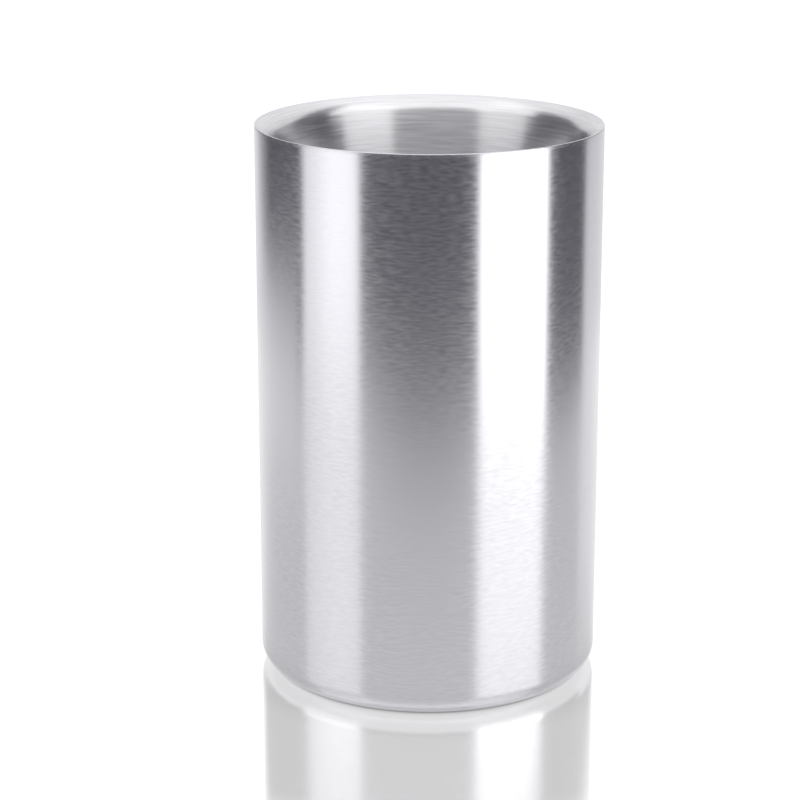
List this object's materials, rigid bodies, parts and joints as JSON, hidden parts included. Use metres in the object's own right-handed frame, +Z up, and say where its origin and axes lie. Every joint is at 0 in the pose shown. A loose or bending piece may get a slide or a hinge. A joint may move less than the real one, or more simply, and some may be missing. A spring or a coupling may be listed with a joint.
{
  "type": "double-wall wine cooler",
  "caption": "Straight cylindrical double-wall wine cooler in brushed stainless steel, with a flared mouth, rounded foot and recessed base.",
  "frame": {"origin": "centre of the standing ring, on the surface that the cooler stands on", "axes": "+Z up along the cooler's axis, towards its mouth; the shape is turned, so +X and +Y are free"},
  "size_m": [0.12, 0.12, 0.195],
  "materials": {
    "shell_steel": "fine brushed round the axis",
    "liner_steel": "brushed round the axis",
    "weld_steel": "ground and polished",
    "pan_steel": "spun satin",
    "foam": "closed-cell foam",
    "plug_rubber": "matt"
  },
  "bodies": {
    "root": {"outer_shell": "shell_steel", "inner_liner": "liner_steel", "rim_weld_bead": "weld_steel", "base_plate": "pan_steel", "base_weld_bead": "weld_steel", "liner_support_pad": "foam", "vent_plug": "plug_rubber"}
  },
  "joints": []
}
